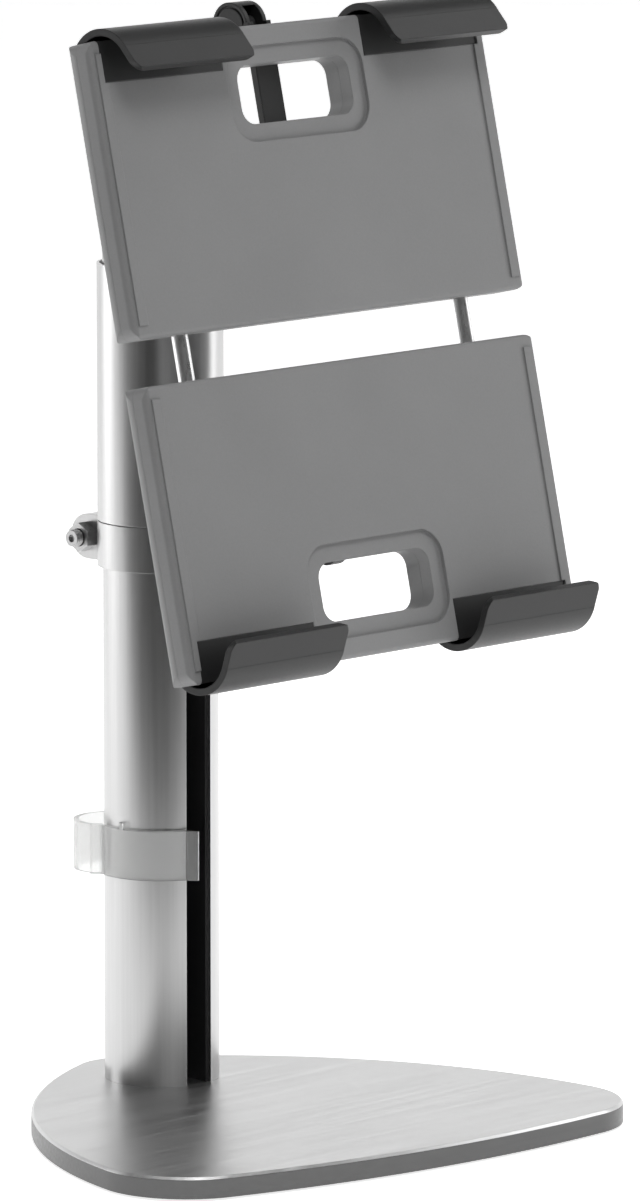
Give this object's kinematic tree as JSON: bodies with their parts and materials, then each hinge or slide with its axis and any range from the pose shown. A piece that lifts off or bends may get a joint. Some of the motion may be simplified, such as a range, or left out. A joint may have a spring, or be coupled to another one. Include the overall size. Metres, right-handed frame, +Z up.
{
  "type": "tablet stand",
  "caption": "Desk stand for a tablet: rounded triangular base, slotted round column with height ring and sleeve, tilting two-part holder with hooked claws and a cable clip.",
  "frame": {"origin": "on the table, at the underside of the base, under the column axis", "axes": "+Z up along the column, -Y the side the tablet's screen faces, X along the tablet's width"},
  "size_m": [0.1949, 0.1702, 0.3458],
  "materials": {
    "base_steel": "satin, fine grain, bright bevel",
    "column_aluminium": "satin anodised, lengthwise grain",
    "liner_plastic": "matte",
    "clip_plastic": "frosted translucent",
    "shell_plastic": "fine texture",
    "claw_plastic": "soft satin",
    "trim_plastic": "matte",
    "washer_plastic": "matte",
    "arm_metal": "fine textured black paint",
    "hardware_steel": "plain zinc",
    "rod_chrome": "polished",
    "pad_rubber": "matte",
    "underlay_rubber": "matte, fine ribs"
  },
  "bodies": {
    "base": {"base_plate": "base_steel", "base_underlay": "underlay_rubber", "base_screws": "hardware_steel", "column": "column_aluminium", "slot_liner": "liner_plastic", "column_cap": "trim_plastic"},
    "clip": {"cable_clip": "clip_plastic"},
    "ring": {"height_ring": "column_aluminium", "ring_nut": "hardware_steel"},
    "ring_knob": {"ring_knob": "trim_plastic", "ring_stud": "hardware_steel"},
    "carrier": {"sleeve": "column_aluminium", "sleeve_bushes": "trim_plastic", "support_arm": "arm_metal", "arm_screws": "hardware_steel", "tilt_washers": "washer_plastic"},
    "holder": {"tilt_head": "arm_metal", "tilt_pin": "hardware_steel", "pin_nut": "hardware_steel", "head_screws": "hardware_steel", "lower_shell_front": "shell_plastic", "lower_shell_back": "shell_plastic", "lower_claw_left": "claw_plastic", "lower_claw_right": "claw_plastic", "lower_claw_pads": "pad_rubber", "lower_claw_screws": "hardware_steel", "lower_shell_screws": "hardware_steel", "guide_rods": "rod_chrome", "rod_anchors": "trim_plastic", "rod_stops": "trim_plastic"},
    "tilt_lever": {"tilt_lever": "trim_plastic", "tilt_lever_stud": "hardware_steel"},
    "upper_holder": {"upper_shell_front": "shell_plastic", "upper_shell_back": "shell_plastic", "upper_claw_left": "claw_plastic", "upper_claw_right": "claw_plastic", "upper_claw_pads": "pad_rubber", "upper_claw_screws": "hardware_steel", "upper_shell_screws": "hardware_steel", "rod_bearings": "trim_plastic", "latch_pin": "hardware_steel"},
    "latch": {"latch_lever": "claw_plastic", "latch_roller": "trim_plastic"}
  },
  "joints": [
    {"name": "height_slide", "type": "slide", "parent": "base", "child": "ring", "axis": [0, 0, 1], "range_m": [-0.04, 0.018]},
    {"name": "clip_slide", "type": "slide", "parent": "base", "child": "clip", "axis": [0, 0, 1], "range_m": [-0.05, 0.03]},
    {"name": "clamp_knob_turn", "type": "hinge", "parent": "ring", "child": "ring_knob", "pos_m": [0, 0.025, 0.176], "axis": [1, 0, 0], "range_deg": [0, 360]},
    {"name": "pan", "type": "hinge", "parent": "ring", "child": "carrier", "pos_m": [0, 0, 0.223], "axis": [0, 0, 1], "continuous": true},
    {"name": "tilt", "type": "hinge", "parent": "carrier", "child": "holder", "pos_m": [0, -0.05755, 0.19953], "axis": [-1, 0, 0], "range_deg": [-12.8, 10]},
    {"name": "tilt_lever_turn", "type": "hinge", "parent": "holder", "child": "tilt_lever", "pos_m": [0, -0.05755, 0.19953], "axis": [1, 0, 0], "range_deg": [-20, 60]},
    {"name": "grip_slide", "type": "slide", "parent": "holder", "child": "upper_holder", "axis": [0, 0.2215, 0.9751], "range_m": [-0.005, 0.025]},
    {"name": "latch_press", "type": "hinge", "parent": "upper_holder", "child": "latch", "pos_m": [0, -0.05466, 0.2727], "axis": [-1, 0, 0], "range_deg": [0, 8], "stiffness_Nm_per_rad": 0.1, "springref_deg": -5.73}
  ]
}
